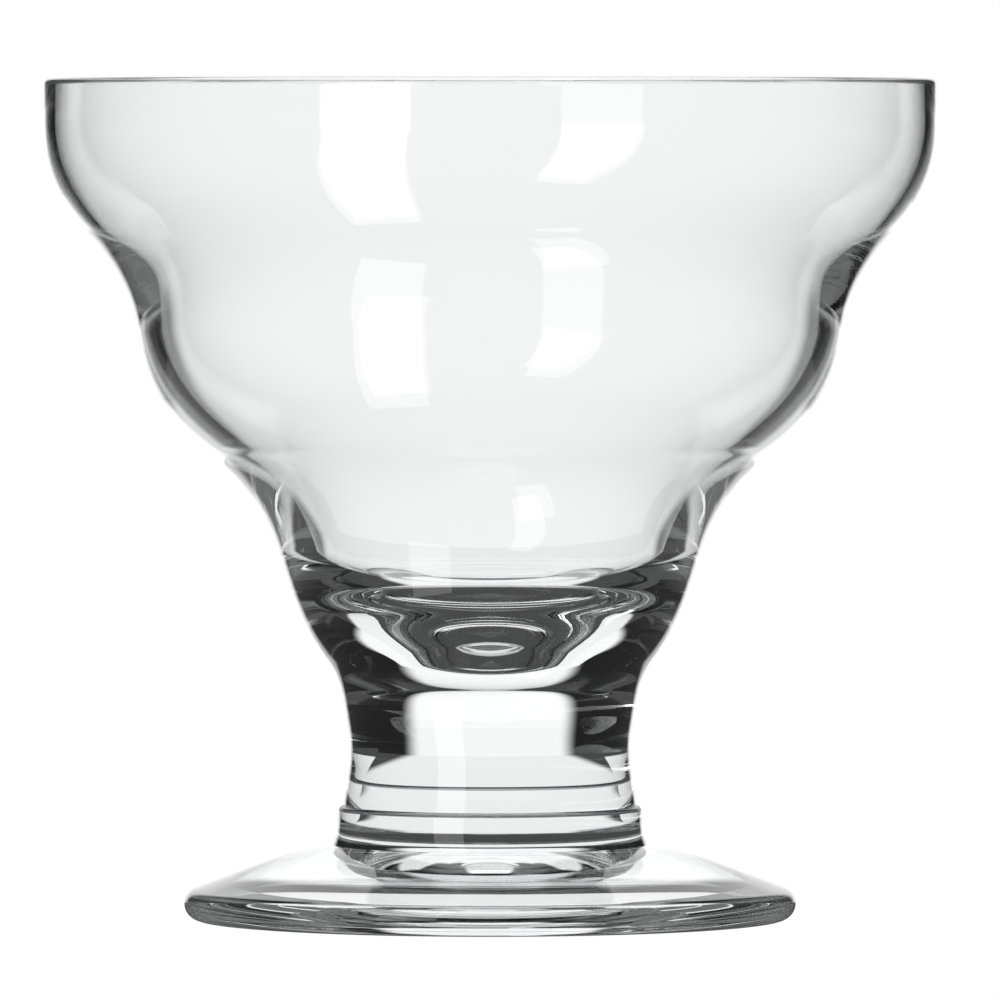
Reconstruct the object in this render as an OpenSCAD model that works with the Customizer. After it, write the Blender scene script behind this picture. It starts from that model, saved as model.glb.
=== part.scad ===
// Footed parfait glass in clear pressed glass.
// A waved bowl stands on a short solid stem, a collar and a round foot, fused in a stack.
// The foot rests on z = 0 and the glass stands up the +Z axis.

/* [Rim] */
// Outer diameter of the rim
rim_d = 89.2; // [84:0.1:96]
// Height of the straight wall under the lip
rim_h = 4.3; // [2:0.1:8]
// Glass thickness at the rim
rim_wall = 1.1; // [0.8:0.05:1.8]

/* [Upper bulge] */
// Height of the upper bulge, from the shoulder up to the straight wall
upper_bulge_h = 10.8; // [9:0.1:15]
// Outer diameter at the shoulder, where the bulge turns in to the waist
shoulder_d = 80.8; // [77:0.1:83]
// Lean of the wall at the shoulder, in degrees from upright
shoulder_lean = 42; // [30:1:50]
// Glass thickness at the shoulder
shoulder_wall = 1.2; // [1:0.05:2]

/* [Waist] */
// Height from the waist up to the shoulder
waist_h = 10.2; // [8.5:0.1:13]
// Outer diameter at the waist, between the two bulges
waist_d = 70.2; // [67:0.1:74]
// Lean of the wall at the waist, in degrees from upright
waist_lean = 8; // [4:1:18]
// Glass thickness at the waist
waist_wall = 2.2; // [1.4:0.05:2.8]
// Lean of the inside at the waist, in degrees from upright
waist_inside_lean = 8; // [3:1:14]

/* [Lower bulge] */
// Height of the lower bulge, from the belly up to the waist
lower_bulge_h = 12; // [10.5:0.1:15]
// Outer diameter at the belly, where the bulge turns in to the neck
belly_d = 56.4; // [53:0.1:60]
// Lean of the wall at the belly, in degrees from upright
belly_lean = 51; // [42:1:58]
// Glass thickness at the belly
belly_wall = 2.4; // [1.6:0.05:3]

/* [Neck] */
// Height from the neck up to the belly
neck_h = 10; // [8.5:0.1:13]
// Outer diameter at the neck, under the belly
neck_d = 42; // [40:0.1:46]
// Lean of the wall at the neck, in degrees from upright
neck_lean = 17; // [12:1:26]
// Glass thickness at the neck
neck_wall = 3.3; // [2.4:0.05:4.2]
// Lean of the inside at the neck, in degrees from upright
neck_inside_lean = 21; // [18:1:34]
// Height from the throat up to the neck
throat_h = 10.9; // [9:0.1:14]
// Outer diameter at the throat, where the solid base of the bowl narrows
throat_d = 32.4; // [30.5:0.1:34]
// Lean of the base at the throat, in degrees from upright
throat_lean = 37; // [28:1:44]
// Height of the base from the stem joint up to the throat
base_h = 5.5; // [4.5:0.1:8]

/* [Bottom of the bowl] */
// Diameter of the edge where the inside turns in to the floor of the bowl
floor_d = 30.8; // [28:0.1:33]
// Height of that edge above the stem joint
floor_h = 13.8; // [12.5:0.1:15.5]
// Lean of the inside at that edge, in degrees from upright
floor_lean = 50; // [42:1:58]
// Radius of the round well in the middle of the floor
well_r = 8.7; // [6:0.1:10]
// Solid glass from the stem joint up to the bottom of the well
well_floor = 6.9; // [5:0.1:8]
// Lean of the well's side where it runs out into the floor, in degrees from upright
well_lean = 45; // [42:1:52]

/* [Stem] */
// Diameter of the joint between bowl and stem
stem_top_d = 28.7; // [28.2:0.1:30]
// Lean of the side at that joint, in degrees from upright
stem_top_lean = 9; // [4:1:18]
// Length of the stem, from the collar up to the bowl
stem_h = 9.1; // [7:0.1:14]
// Narrowest diameter of the stem
stem_d = 27.9; // [26:0.1:28.2]
// Height of the narrowest place above the collar
stem_waist_h = 5.6; // [3:0.1:6.5]
// Diameter of the stem where it stands on the collar
stem_foot_d = 29.3; // [28.2:0.1:30]
// Outward flare of the stem where it stands on the collar, in degrees from upright
stem_flare = 8; // [2:1:14]

/* [Collar] */
// Diameter of the collar at its upper edge
collar_d = 30.3; // [29.8:0.1:31]
// Height of the collar
collar_h = 3.9; // [3:0.1:6]
// Rounding of the collar's upper edge
collar_round = 0.5; // [0.2:0.05:0.8]
// Outward flare of the collar's side at its upper edge, in degrees from upright
collar_flare = 3; // [0:1:8]
// Diameter of the collar where it stands on the foot
collar_foot_d = 31.4; // [31:0.1:34]
// Outward flare of the collar where it stands on the foot, in degrees from upright
collar_foot_flare = 28; // [15:1:40]

/* [Foot] */
// Diameter of the foot
foot_d = 61.2; // [54:0.1:70]
// Height of the foot, up to the collar
foot_h = 7.5; // [6:0.1:10]
// Thickness of the foot's rounded edge
foot_edge = 3.2; // [2.4:0.1:4]
// Slope of the foot's top beside the collar, in degrees from level
foot_top_slope = 9; // [4:1:14]
// Slope of the foot's top at its edge, in degrees from level
foot_edge_slope = 19; // [15:1:26]
// Width of the flat ring that the glass rests on
rest_ring = 4; // [2:0.1:5]
// Depth of the hollow under the foot
hollow = 4.2; // [2.5:0.1:4.6]
// Slope of the hollow's side beside the rest ring, in degrees from level
hollow_slope = 28; // [16:1:30]

/* [Hidden] */
$fn = 128;
clear_glass = [0.88, 0.93, 0.94, 0.4];
// Steps along each curved stretch of an outline
steps = 14;
// Length of a curve's handles, as a share of the straight line between its ends
pull = 0.36;

// Heights of the joints and of the places that shape the outline
collar_z = foot_h;
stem_z = collar_z + collar_h;
bowl_z = stem_z + stem_h;
throat_z = bowl_z + base_h;
neck_z = throat_z + throat_h;
belly_z = neck_z + neck_h;
waist_z = belly_z + lower_bulge_h;
shoulder_z = waist_z + waist_h;
rim_z = shoulder_z + upper_bulge_h;
lip_r = rim_wall / 2;
lip_z = rim_z + rim_h - lip_r;

// A place on an outline is [radius, height, lean]: the lean is how far the line, followed
// downwards, turns in from upright.
rim = [rim_d / 2, rim_z, 0];
shoulder = [shoulder_d / 2, shoulder_z, shoulder_lean];
waist = [waist_d / 2, waist_z, waist_lean];
belly = [belly_d / 2, belly_z, belly_lean];
neck = [neck_d / 2, neck_z, neck_lean];
throat = [throat_d / 2, throat_z, throat_lean];
stem_top = [stem_top_d / 2, bowl_z, stem_top_lean];
stem_waist = [stem_d / 2, stem_z + stem_waist_h, 0];
stem_foot = [stem_foot_d / 2, stem_z, -stem_flare];

// The bottom of the bowl: a floor that slopes in to a round well
floor_edge = [floor_d / 2, bowl_z + floor_h, floor_lean];
well_z = bowl_z + well_floor;
well_slope = 90 - well_lean;
well_side = [well_r * sin(well_slope), well_z + well_r * (1 - cos(well_slope)), well_lean];

// The unit step down an outline of the given lean
function down(lean) = [-sin(lean), -cos(lean)];

// The radius and height of a place
function spot(place) = [place[0], place[1]];

// The place on the inside of the wall, squarely behind one on the outside, with a lean of its own
function behind(place, wall, lean) =
    [place[0] - wall * cos(place[2]), place[1] + wall * sin(place[2]), lean];

// A smooth curve from one place down to the next, without its last point
function curve(from, to) =
    let (
        a = spot(from),
        d = spot(to),
        handle = pull * norm(d - a),
        b = a + handle * down(from[2]),
        c = d - handle * down(to[2])
    )
    [for (i = [0 : steps - 1])
        let (t = i / steps, s = 1 - t)
        s * s * s * a + 3 * s * s * t * b + 3 * s * t * t * c + t * t * t * d];

// Curves through a whole row of places, with the last point
function run(places) = concat(
    [for (i = [0 : len(places) - 2]) each curve(places[i], places[i + 1])],
    [spot(places[len(places) - 1])]);

// An arc about a centre, between two angles
function arc(centre, r, from, to) =
    [for (i = [0 : steps])
        let (angle = from + (to - from) * i / steps)
        centre + r * [cos(angle), sin(angle)]];

function reversed(points) = [for (i = [len(points) - 1 : -1 : 0]) points[i]];

// A solid turned about the axis from half of its section
module turned(points) {
    rotate_extrude() polygon(points);
}

// The bowl: two soft waves of wall and a floor with a round well, on a solid base
module bowl() {
    outside = run([rim, shoulder, waist, belly, neck, throat, stem_top]);
    inside = run([
        behind([rim[0], lip_z, 0], rim_wall, 0),
        behind(rim, rim_wall, 0),
        behind(shoulder, shoulder_wall, shoulder_lean),
        behind(waist, waist_wall, waist_inside_lean),
        behind(belly, belly_wall, belly_lean),
        behind(neck, neck_wall, neck_inside_lean),
        floor_edge,
        well_side]);
    well = arc([0, well_z + well_r], well_r, well_slope - 90, -90);
    lip = arc([rim[0] - lip_r, lip_z], lip_r, 180, 0);
    color(clear_glass) turned(concat(
        [[0, bowl_z]],
        reversed(well),
        reversed([for (i = [0 : len(inside) - 2]) inside[i]]),
        [for (i = [1 : steps]) lip[i]],
        outside));
}

// The stem: a short solid pillar with a slack waist
module stem() {
    color(clear_glass) turned(concat(
        [[0, bowl_z]],
        run([stem_top, stem_waist, stem_foot]),
        [[0, stem_z]]));
}

// The collar: a low ring of glass with a rounded upper edge, flared out to the foot
module collar() {
    edge = [collar_d / 2 - collar_round, stem_z - collar_round];
    top = arc(edge, collar_round, 90, collar_flare);
    side = run([
        [top[steps][0], top[steps][1], -collar_flare],
        [collar_foot_d / 2, collar_z, -collar_foot_flare]]);
    color(clear_glass) turned(concat(
        [[0, stem_z]],
        [for (i = [0 : steps - 1]) top[i]],
        side,
        [[0, collar_z]]));
}

// The foot: a shallow cone with a rounded edge, hollowed underneath inside its rest ring
module foot() {
    edge_r = foot_edge / 2;
    edge_centre = [foot_d / 2 - edge_r, edge_r];
    edge = arc(edge_centre, edge_r, 90 - foot_edge_slope, -90);
    top = run([
        [collar_foot_d / 2, collar_z, foot_top_slope - 90],
        [edge[0][0], edge[0][1], foot_edge_slope - 90]]);
    hollow_rim = edge_centre[0] - rest_ring;
    roof = run([
        [0, hollow, -90],
        [hollow_rim, 0, hollow_slope - 90]]);
    color(clear_glass) turned(concat(
        [[0, collar_z]],
        [for (i = [0 : len(top) - 2]) top[i]],
        edge,
        reversed(roof)));
}

bowl();
stem();
collar();
foot();
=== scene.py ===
import math

import bpy
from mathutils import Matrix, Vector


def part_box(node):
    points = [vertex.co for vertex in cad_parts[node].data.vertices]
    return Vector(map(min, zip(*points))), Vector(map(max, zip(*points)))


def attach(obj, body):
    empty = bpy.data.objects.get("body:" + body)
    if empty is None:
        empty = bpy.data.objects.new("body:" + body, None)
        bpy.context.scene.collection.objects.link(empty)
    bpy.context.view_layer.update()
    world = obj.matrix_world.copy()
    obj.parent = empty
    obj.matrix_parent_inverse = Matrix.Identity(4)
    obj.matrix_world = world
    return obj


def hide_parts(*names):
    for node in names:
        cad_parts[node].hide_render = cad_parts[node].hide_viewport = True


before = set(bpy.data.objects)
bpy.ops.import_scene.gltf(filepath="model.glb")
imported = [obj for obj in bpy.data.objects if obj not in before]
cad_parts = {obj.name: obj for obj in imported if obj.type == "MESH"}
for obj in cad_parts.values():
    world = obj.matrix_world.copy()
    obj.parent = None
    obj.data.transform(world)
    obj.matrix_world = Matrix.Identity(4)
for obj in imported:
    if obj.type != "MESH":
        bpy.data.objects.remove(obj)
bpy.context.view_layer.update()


# Bowl
# The bowl is pressed from a gob of clear soda-lime glass, in two soft waves over a solid base.
# Its rim is fire-polished round, and its base is left hot for the stem to run on to.
MM = 0.001
# Flat sides round the axis, and steps along each curve of an outline
SIDES = 288
STEPS = 14
# Length of a curve's handles, as a share of the straight line between its ends
PULL = 0.36
# A step this small next to each end of a curve gives the end its true slope when shaded
END_STEP = 0.02
# Points nearer than this to the axis, or to each other, are one point
ONE_POINT = 1e-6
SODA_LIME_IOR = 1.52
# What a thin wall leaves of the light that passes it straight
THIN_WALL_TINT = "#FAFBFB"


def down(lean):
    """The unit step down an outline that leans in by so many degrees from upright."""
    return -math.sin(math.radians(lean)), -math.cos(math.radians(lean))


def behind(place, wall, lean):
    """The place on the inside of the wall, squarely behind one on the outside, with its own lean."""
    inward, below = down(place[2])
    return place[0] + wall * below, place[1] - wall * inward, lean


def curve(start, end):
    """Points of a smooth curve from one place (radius, height, lean) down to the next."""
    handle = PULL * math.dist(start[:2], end[:2])
    leave, arrive = down(start[2]), down(end[2])
    shares = [0, END_STEP, *(i / STEPS for i in range(1, STEPS)), 1 - END_STEP, 1]
    points = []
    for t in shares:
        s = 1 - t
        points.append(tuple(
            s ** 3 * start[i] + t ** 3 * end[i]
            + 3 * s * s * t * (start[i] + handle * leave[i])
            + 3 * s * t * t * (end[i] - handle * arrive[i])
            for i in (0, 1)))
    return points


def run(*places):
    """Curves through a row of places."""
    return [p for start, end in zip(places, places[1:]) for p in curve(start, end)]


def arc(centre, radius, start, end):
    """Points on an arc between two angles, in degrees from level."""
    angles = [math.radians(start + (end - start) * i / STEPS) for i in range(STEPS + 1)]
    return [(centre[0] + radius * math.cos(a), centre[1] + radius * math.sin(a)) for a in angles]


def turned(name, stretches):
    """A closed piece turned about the axis from half of its section.

    The section runs from the axis to the axis with the glass on its right. It is a row of
    (points, material), and the surface has an edge where two stretches meet."""
    points, rings, faces, numbers, materials, edges = [], [], [], [], [], set()
    turns = [math.tau * k / SIDES for k in range(SIDES)]
    for stretch, material in stretches:
        if material not in materials:
            materials.append(material)
        number = materials.index(material)
        for radius, height in stretch:
            if rings and math.dist((radius, height), rings[-1][0]) < ONE_POINT:
                if (radius, height) == stretch[0]:
                    edges.add(len(rings) - 1)
                continue
            first = len(points)
            r, z = radius * MM, height * MM
            if radius < ONE_POINT:
                ids = [first] * SIDES
                points.append((0, 0, z))
            else:
                ids = range(first, first + SIDES)
                points += [(r * math.cos(t), r * math.sin(t), z) for t in turns]
            if rings:
                upper = rings[-1][1]
                for k in range(SIDES):
                    n = (k + 1) % SIDES
                    faces.append(tuple(dict.fromkeys((upper[k], ids[k], ids[n], upper[n]))))
                    numbers.append(number)
            rings.append(((radius, height), ids))
    mesh = bpy.data.meshes.new(name)
    mesh.from_pydata(points, [], faces)
    mesh.shade_smooth()
    mesh.polygons.foreach_set("material_index", numbers)
    for material in materials:
        mesh.materials.append(material)
    corners = {rings[i][1][k] for i in edges for k in range(SIDES)}
    for edge in mesh.edges:
        a, b = edge.vertices
        same_height = abs(points[a][2] - points[b][2]) < ONE_POINT * MM
        if same_height and a in corners and b in corners:
            edge.use_edge_sharp = True
    piece = bpy.data.objects.new(name, mesh)
    bpy.context.scene.collection.objects.link(piece)
    return piece


def linear(hex_colour):
    """An sRGB hex colour as linear RGBA."""
    shades = [int(hex_colour[i:i + 2], 16) / 255 for i in (1, 3, 5)]
    return [c / 12.92 if c <= 0.04045 else ((c + 0.055) / 1.055) ** 2.4 for c in shades] + [1]


def add(tree, kind, links=(), **settings):
    """Adds a node. Settings name its properties or inputs; links give an input a socket or a number."""
    node = tree.nodes.new(kind)
    for key, value in settings.items():
        if hasattr(node, key):
            setattr(node, key, value)
        else:
            node.inputs[key.replace("_", " ")].default_value = value
    for name, source in links:
        if isinstance(source, bpy.types.NodeSocket):
            tree.links.new(source, node.inputs[name])
        else:
            node.inputs[name].default_value = source
    return node


def new_material(name):
    """An empty material and its node tree."""
    material = bpy.data.materials.new(name)
    material.use_nodes = True
    material.node_tree.nodes.clear()
    return material, material.node_tree


def clear_pane():
    """What a thin wall shows to an eye that meets it from its inside: it bends nothing, and mirrors
    a little. It is a group of its own, so that an exported model takes the plain glass beside it."""
    group = bpy.data.node_groups.new("clear_thin_wall", "ShaderNodeTree")
    group.interface.new_socket("Normal", in_out="INPUT", socket_type="NodeSocketVector")
    group.interface.new_socket("Shader", in_out="OUTPUT", socket_type="NodeSocketShader")
    normal = add(group, "NodeGroupInput").outputs["Normal"]
    straight = add(group, "ShaderNodeBsdfTransparent", Color=linear(THIN_WALL_TINT))
    mirror = add(group, "ShaderNodeBsdfGlossy", [("Normal", normal)], Roughness=0.0)
    grazing = add(group, "ShaderNodeFresnel", [("Normal", normal)], IOR=SODA_LIME_IOR)
    pane = add(group, "ShaderNodeMixShader",
               [(0, grazing.outputs[0]), (1, straight.outputs[0]), (2, mirror.outputs[0])])
    add(group, "NodeGroupOutput", [("Shader", pane.outputs[0])])
    return group


def soda_lime(name, ripple_mm, ripple_depth_mm, roughness=0.0, tint="#FDFEFE", wall=None):
    """Clear soda-lime glass: no colour of its own, so the eye sees only bent and mirrored light.
    The mould leaves a slow ripple that makes the edges of highlights swim a little.

    A thin wall has an "inside" and an "outside". An eye that meets it from its inside, over the rim,
    sees straight through both. Met in any other way, they bend light as the rest of the glass does."""
    material, tree = new_material(name)
    where = add(tree, "ShaderNodeTexCoord")
    ripple = add(tree, "ShaderNodeTexNoise", [("Vector", where.outputs["Object"])],
                 Scale=1 / (ripple_mm * MM), Detail=1.0, Roughness=0.4)
    bump = add(tree, "ShaderNodeBump", [("Height", ripple.outputs["Fac"])],
               Distance=ripple_depth_mm * MM, Strength=1.0)
    surface = add(tree, "ShaderNodeBsdfPrincipled", [("Normal", bump.outputs["Normal"])],
                  Base_Color=linear(tint), IOR=SODA_LIME_IOR, Roughness=roughness, Transmission_Weight=1.0)
    if wall:
        share = add(tree, "ShaderNodeLightPath").outputs["Is Camera Ray"]
        if wall == "inside":
            clear = add(tree, "ShaderNodeGroup", [("Normal", bump.outputs["Normal"])],
                        node_tree=clear_pane())
        else:
            clear = add(tree, "ShaderNodeBsdfTransparent", Color=linear(THIN_WALL_TINT))
            side = add(tree, "ShaderNodeNewGeometry")
            within = add(tree, "ShaderNodeMath", [(0, share), (1, side.outputs["Backfacing"])],
                         operation="MULTIPLY")
            share = within.outputs[0]
        surface = add(tree, "ShaderNodeMixShader",
                      [(0, share), (1, surface.outputs[0]), (2, clear.outputs[0])])
    add(tree, "ShaderNodeOutputMaterial", [("Surface", surface.outputs[0])])
    return material


def fused(name):
    """The face of a hot joint: the two glasses ran together, so nothing of it is left to see."""
    material, tree = new_material(name)
    nothing = add(tree, "ShaderNodeBsdfPrincipled", Alpha=0.0)
    add(tree, "ShaderNodeOutputMaterial", [("Surface", nothing.outputs["BSDF"])])
    return material


# Each place on the outline is its radius, its height and its lean: mm, and degrees from upright
joint_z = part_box("bowl")[0].z / MM
throat = (16.2, joint_z + 5.5, 37)
neck = (21.0, throat[1] + 10.9, 17)
belly = (28.2, neck[1] + 10.0, 51)
waist = (35.1, belly[1] + 12.0, 8)
shoulder = (40.4, waist[1] + 10.2, 42)
rim = (44.6, shoulder[1] + 10.8, 0)
stem_top = (14.35, joint_z, 9)
rim_wall = 1.1
lip_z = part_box("bowl")[1].z / MM - rim_wall / 2
lip = arc((rim[0] - rim_wall / 2, lip_z), rim_wall / 2, 180, 0)

# The inside follows the waves, then flattens to a floor with a small round well in it
shoulder_wall = 1.2
waist_wall = 2.2
waist_inside_lean = 8
belly_wall = 2.4
neck_wall = 3.3
neck_inside_lean = 21
floor_edge = (15.4, joint_z + 13.8, 50)
well_r = 8.7
well_z = joint_z + 6.9
well_slope = 45
well = arc((0, well_z + well_r), well_r, -90, well_slope - 90)
well_side = well[-1] + (90 - well_slope,)
inside_neck = behind(neck, neck_wall, neck_inside_lean)
inside_wall = run(
    behind((rim[0], lip_z, 0), rim_wall, 0),
    behind(rim, rim_wall, 0),
    behind(shoulder, shoulder_wall, shoulder[2]),
    behind(waist, waist_wall, waist_inside_lean),
    behind(belly, belly_wall, belly[2]),
    inside_neck)
inside_floor = run(inside_neck, floor_edge, well_side)
outside = run(rim, shoulder, waist, belly, neck, throat, stem_top)
bowl_glass = soda_lime("pressed_soda_lime_bowl", ripple_mm=16, ripple_depth_mm=0.012, wall="outside")
inside_glass = soda_lime("pressed_soda_lime_inside", ripple_mm=16, ripple_depth_mm=0.012, wall="inside")
bowl = turned("bowl", [
    (well + inside_floor[::-1], bowl_glass),
    (inside_wall[::-1], inside_glass),
    (lip + outside, bowl_glass),
    ([stem_top[:2], (0, joint_z)], fused("fused_joint_under_bowl"))])
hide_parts("bowl")
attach(bowl, "root")


# Stem
# A short solid pillar of the same glass, drawn down from the bowl while hot, so it has a slack waist.
# Its side is fire-polished, and it is fused to the bowl above and the collar below.
collar_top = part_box("stem")[0].z / MM
stem_waist = (13.95, collar_top + 5.6, 0)
stem_foot = (14.65, collar_top, -8)
# So much glass takes a little light out of what shows through it
thick_glass = "#F5F7F7"
stem_glass = soda_lime("drawn_soda_lime_stem", ripple_mm=9, ripple_depth_mm=0.006, tint=thick_glass)
stem_joint = fused("fused_joint_of_stem")
stem = turned("stem", [
    ([(0, joint_z), stem_top[:2]], stem_joint),
    (run(stem_top, stem_waist, stem_foot), stem_glass),
    ([stem_foot[:2], (0, collar_top)], stem_joint)])
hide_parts("stem")
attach(stem, "root")


# Collar
# A low ring of glass where the stem was set down on the foot, a little wider than the stem.
# Its upper edge is melted round and shows as a line across the pillar, darkened with painted shade.
foot_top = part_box("collar")[0].z / MM
collar_round = 0.5
collar_r = 15.15
collar_flare = 3
collar_foot = (15.7, foot_top, -28)
collar_edge = arc((collar_r - collar_round, collar_top - collar_round), collar_round, 90, collar_flare)
collar_side = run(collar_edge[-1] + (-collar_flare,), collar_foot)
collar_glass = soda_lime("melted_soda_lime_collar", ripple_mm=7, ripple_depth_mm=0.005, tint=thick_glass)
# The melted edge is a little cloudy, and its grey tint is painted shade that draws a dark line round the
# pillar
collar_edge_painted_shade = soda_lime("painted_shade_on_collar_edge", ripple_mm=2, ripple_depth_mm=0.004,
                         roughness=0.25, tint="#7C8284")
collar_joint = fused("fused_joint_of_collar")
collar = turned("collar", [
    ([(0, collar_top), collar_edge[0]], collar_joint),
    (collar_edge, collar_edge_painted_shade),
    (collar_side, collar_glass),
    ([collar_foot[:2], (0, foot_top)], collar_joint)])
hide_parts("collar")
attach(collar, "root")


# Foot
# A round foot, pressed as a shallow cone with a rounded edge and a hollow under it.
# It stands on a flat ring inside its edge, and the collar is fused to its top.
foot_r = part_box("foot")[1].x / MM
edge_r = 1.6
rest_ring = 4.0
hollow = 4.2
# Slopes in degrees from level: the top beside the collar and at the edge, and the side of the hollow
top_slope = 9
edge_slope = 19
hollow_slope = 28
foot_edge = arc((foot_r - edge_r, edge_r), edge_r, 90 - edge_slope, -90)
foot_side = run((collar_foot[0], foot_top, top_slope - 90), foot_edge[0] + (edge_slope - 90,))
hollow_rim = foot_r - edge_r - rest_ring
hollow_roof = run((0, hollow, -90), (hollow_rim, 0, hollow_slope - 90))[::-1]
foot_glass = soda_lime("pressed_soda_lime_foot", ripple_mm=12, ripple_depth_mm=0.008, tint=thick_glass)
# The underside was never fire-polished: the plunger leaves it faintly satin, and tables scuff the ring
plunger_satin = soda_lime("plunger_satin_under_foot", ripple_mm=3, ripple_depth_mm=0.004, roughness=0.03)
scuffed_ring = soda_lime("scuffed_rest_ring", ripple_mm=0.8, ripple_depth_mm=0.002, roughness=0.06)
foot = turned("foot", [
    ([(0, foot_top), collar_foot[:2]], fused("fused_joint_on_foot")),
    (foot_side + foot_edge, foot_glass),
    ([foot_edge[-1], hollow_roof[0]], scuffed_ring),
    (hollow_roof, plunger_satin)])
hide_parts("foot")
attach(foot, "root")


# Floor and light
# A white card close behind and a white table under it light the glass from behind, as clear glass is
# photographed: its panes are bright and its edges mirror a dark room. One tall window lights the front.
scene = bpy.context.scene
WHITE = "#FFFFFF"
# Bends and mirrors are whole numbers, so a count is compared half a step past it
HALF_STEP = 0.5
SECTOR_STEPS = 16


def even_light(name, strength, most_bends=None):
    """White light of one strength all over, which may reach the eye over so many bends and mirrors."""
    material, tree = new_material(name)
    light = add(tree, "ShaderNodeEmission", Color=linear(WHITE), Strength=strength)
    if most_bends:
        path = add(tree, "ShaderNodeLightPath")
        near = add(tree, "ShaderNodeMath", operation="LESS_THAN",
                   links=[(0, path.outputs["Ray Depth"]), (1, most_bends + HALF_STEP)])
        power = add(tree, "ShaderNodeMath", [(0, near.outputs[0]), (1, strength)], operation="MULTIPLY")
        tree.links.new(power.outputs[0], light.inputs["Strength"])
    add(tree, "ShaderNodeOutputMaterial", [("Surface", light.outputs["Emission"])])
    return material


def fading_light(name, full, full_to, gone_at, gone, beside):
    """White light straight behind the glass that fades sideways, from full to gone, between two angles.
    They are measured from two points beside the axis, so far to its left and to its right."""
    material, tree = new_material(name)
    where = add(tree, "ShaderNodeTexCoord")
    place = add(tree, "ShaderNodeSeparateXYZ", [("Vector", where.outputs["Object"])])
    aside = add(tree, "ShaderNodeMath", [(0, place.outputs["X"])], operation="ABSOLUTE")
    past = add(tree, "ShaderNodeMath", [(0, aside.outputs[0]), (1, beside)], operation="SUBTRACT")
    angle = add(tree, "ShaderNodeMath", operation="ARCTAN2",
                links=[(0, past.outputs[0]), (1, place.outputs["Y"])])
    fade = add(tree, "ShaderNodeMapRange", [("Value", angle.outputs[0])], interpolation_type="SMOOTHSTEP",
               From_Min=math.radians(full_to), From_Max=math.radians(gone_at), To_Min=full, To_Max=gone)
    light = add(tree, "ShaderNodeEmission", [("Strength", fade.outputs["Result"])], Color=linear(WHITE))
    add(tree, "ShaderNodeOutputMaterial", [("Surface", light.outputs["Emission"])])
    return material


def sheet(material, corners):
    """A flat sheet that gives light. The camera doesn't see it, only the glass does."""
    mesh = bpy.data.meshes.new(material.name)
    mesh.from_pydata(corners, [], [tuple(range(len(corners)))])
    mesh.materials.append(material)
    card = bpy.data.objects.new(material.name, mesh)
    scene.collection.objects.link(card)
    card.visible_camera = False
    return card


def upright(azimuth, distance, half_width, low, high):
    """Corners of an upright card that faces the glass; azimuth 0 is behind it, and 90 on its right."""
    a = math.radians(azimuth)
    middle = (math.sin(a) * distance, math.cos(a) * distance)
    along = (math.cos(a) * half_width, -math.sin(a) * half_width)
    left = (middle[0] - along[0], middle[1] - along[1])
    right = (middle[0] + along[0], middle[1] + along[1])
    return [(*left, low), (*right, low), (*right, high), (*left, high)]


def sector(azimuth, half_angle, near, far, height):
    """Corners of a part of a ring on the table, from one distance to another."""
    shares = [2 * k / SECTOR_STEPS - 1 for k in range(SECTOR_STEPS + 1)]
    turns = [math.radians(azimuth + half_angle * share) for share in shares]
    outer = [(far * math.sin(a), far * math.cos(a), height) for a in turns]
    return outer + [(near * math.sin(a), near * math.cos(a), height) for a in reversed(turns)]


# Sizes in metres and angles in degrees. The table's light lies just under the foot.
table_z = -0.0004
dark_room = 0.014
dim_table = 0.07
card_away = 0.207
card_half = 0.175
card_high = 0.40
sheet(fading_light("white_card", full=1.09, full_to=19.0, gone_at=26.2, gone=dark_room, beside=0.0),
      upright(0, card_away, card_half, table_z, card_high))
table_half_angle = 40
table_near = 0.040
table_far = 0.27
sheet(fading_light("lit_table", full=1.0, full_to=14.0, gone_at=21.5, gone=dim_table, beside=0.022),
      sector(0, table_half_angle, table_near, table_far, table_z))

# The window stands on the front left, and its light lies on the table in front of it.
# Light of it that is caught in the wall is left out, because it comes out as hair-like sparkles.
window_azimuth = 211.5
window_away = 0.8
window_half = 0.165
window_high = 1.6
window_bends = 5
patch_half_angle = 11.0
patch_near = 0.062
sheet(even_light("window", strength=1.9, most_bends=window_bends),
      upright(window_azimuth, window_away, window_half, 0.0, window_high))
sheet(even_light("window_light_on_table", strength=1.6, most_bends=window_bends),
      sector(window_azimuth, patch_half_angle, patch_near, window_away, table_z))

# The floor is plain white to the camera, and the glass sees the lit table in its place
floor_half = 20.0
floor_z = -0.001
corner_signs = [(-1, -1), (1, -1), (1, 1), (-1, 1)]
floor = sheet(even_light("floor", strength=1.0),
              [(x * floor_half, y * floor_half, floor_z) for x, y in corner_signs])
floor.visible_camera = True
floor.visible_glossy = False
floor.visible_transmission = False
floor.visible_diffuse = False

# The room is white to the camera. To the glass it is dark, and below the level of the table a little less
# so. The table itself shows white through both walls of the bowl, and through any glass that is looked
# down into, where no light was mirrored on the way. Light mirrored many times in the wall comes out grey.
two_walls = 4
many_mirrors = 7
trapped_grey = 0.18
looking_down = -0.13
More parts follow.
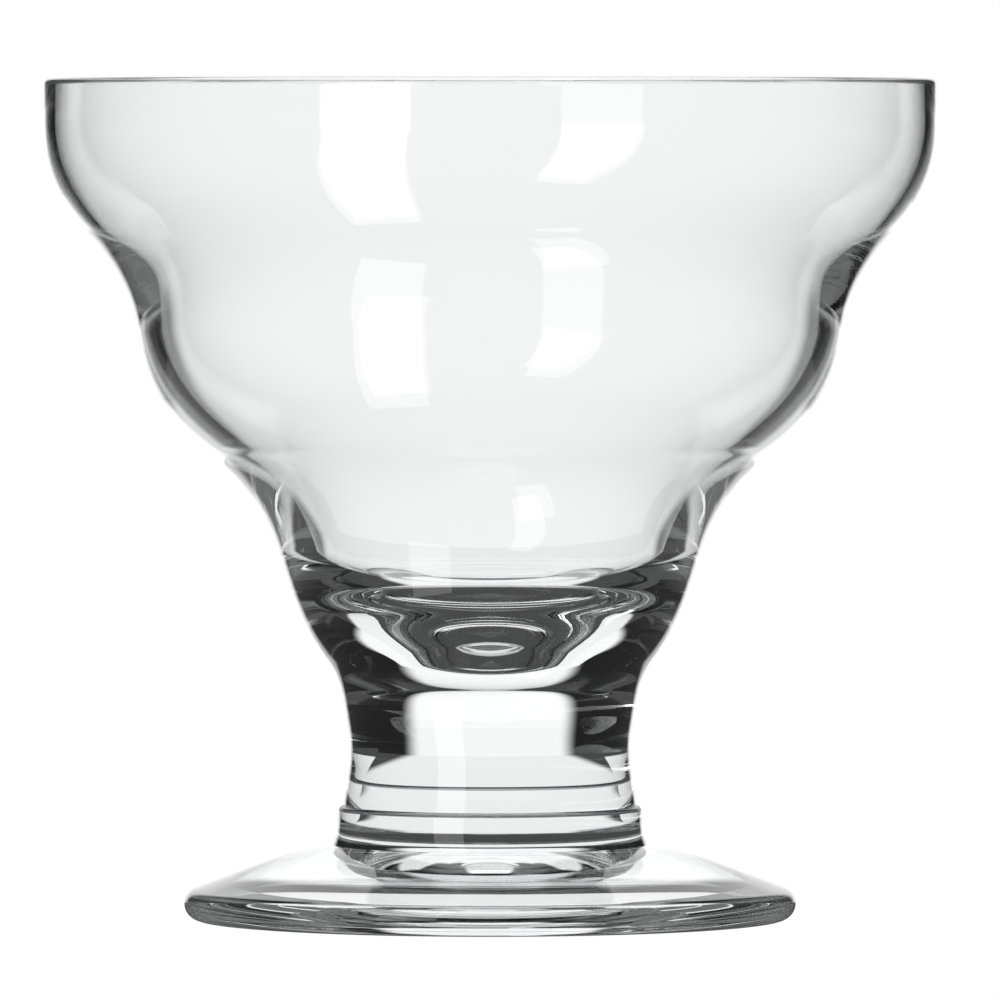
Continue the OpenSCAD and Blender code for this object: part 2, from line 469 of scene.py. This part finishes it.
# The ray that meets the room counts as one more mirror
last_leg = 1
world = bpy.data.worlds.new("white_room")
scene.world = world
world.use_nodes = True
tree = world.node_tree
tree.nodes.clear()
path = add(tree, "ShaderNodeLightPath")
way = add(tree, "ShaderNodeTexCoord")
parts = add(tree, "ShaderNodeSeparateXYZ", [(0, way.outputs["Generated"])])
below = add(tree, "ShaderNodeMath", [(0, parts.outputs["Z"]), (1, 0.0)], operation="LESS_THAN")
steep = add(tree, "ShaderNodeMath", [(0, parts.outputs["Z"]), (1, looking_down)], operation="LESS_THAN")
deep = add(tree, "ShaderNodeMath", operation="GREATER_THAN",
           links=[(0, path.outputs["Transmission Depth"]), (1, two_walls - HALF_STEP)])
mirrors = add(tree, "ShaderNodeMath", operation="SUBTRACT",
              links=[(0, path.outputs["Ray Depth"]), (1, path.outputs["Transmission Depth"])])
once_mirrored = add(tree, "ShaderNodeMath", operation="COMPARE",
                    links=[(0, mirrors.outputs[0]), (1, last_leg + 1), (2, HALF_STEP)])
unmirrored = add(tree, "ShaderNodeMath", operation="LESS_THAN",
                 links=[(0, mirrors.outputs[0]), (1, last_leg + HALF_STEP)])
trapped = add(tree, "ShaderNodeMath", operation="GREATER_THAN",
              links=[(0, mirrors.outputs[0]), (1, last_leg + many_mirrors - HALF_STEP)])
through_both = add(tree, "ShaderNodeMath", operation="SUBTRACT", use_clamp=True,
                   links=[(0, deep.outputs[0]), (1, once_mirrored.outputs[0])])
past_bowl = add(tree, "ShaderNodeMath", operation="MULTIPLY",
                links=[(0, through_both.outputs[0]), (1, below.outputs[0])])
looked_down = add(tree, "ShaderNodeMath", operation="MULTIPLY",
                  links=[(0, unmirrored.outputs[0]), (1, steep.outputs[0])])
table_seen = add(tree, "ShaderNodeMath", operation="MAXIMUM",
                 links=[(0, past_bowl.outputs[0]), (1, looked_down.outputs[0])])
plain = add(tree, "ShaderNodeMath", operation="MAXIMUM",
            links=[(0, path.outputs["Is Camera Ray"]), (1, table_seen.outputs[0])])
dimness = add(tree, "ShaderNodeMath", operation="MULTIPLY_ADD",
              links=[(0, below.outputs[0]), (1, dim_table - dark_room), (2, dark_room)])
leaked = add(tree, "ShaderNodeMath", [(0, trapped.outputs[0]), (1, trapped_grey)], operation="MULTIPLY")
glow = add(tree, "ShaderNodeMath", [(0, leaked.outputs[0]), (1, dimness.outputs[0])], operation="MAXIMUM")
white = add(tree, "ShaderNodeBackground", Color=linear(WHITE), Strength=1.0)
dark = add(tree, "ShaderNodeBackground", [("Strength", glow.outputs[0])], Color=linear(WHITE))
room = add(tree, "ShaderNodeMixShader",
           [(0, plain.outputs[0]), (1, dark.outputs[0]), (2, white.outputs[0])])
add(tree, "ShaderNodeOutputWorld", [("Surface", room.outputs[0])])

# Light goes round in the solid base many times before it comes out
most_bounces = 160
scene.view_settings.view_transform = "Standard"
scene.cycles.max_bounces = most_bounces
scene.cycles.transmission_bounces = most_bounces
scene.cycles.glossy_bounces = most_bounces
scene.cycles.transparent_max_bounces = 32
scene.cycles.caustics_reflective = False
scene.cycles.caustics_refractive = False


# Camera
# Just above the rim, a long way off, so the rim is almost edge-on and the foot shows a little of its top.
# The picture is as wide as the field at the glass, and its middle is the aim.
camera_away = 1.5
camera_height = 0.090
field = 0.100
aim_x, aim_z = 0.001, 0.042
sensor_mm = 36
# Far past the end of the floor
clip_far = 5 * floor_half
camera = bpy.data.objects.new("camera", bpy.data.cameras.new("camera"))
camera.data.sensor_width = sensor_mm
camera.data.lens = sensor_mm * camera_away / field
camera.data.clip_end = clip_far
camera.location = (0, -camera_away, camera_height)
tilt = math.atan2(camera_height - aim_z, camera_away)
camera.rotation_euler = (math.pi / 2 - tilt, 0, -math.atan2(aim_x, camera_away))
scene.collection.objects.link(camera)
scene.camera = camera
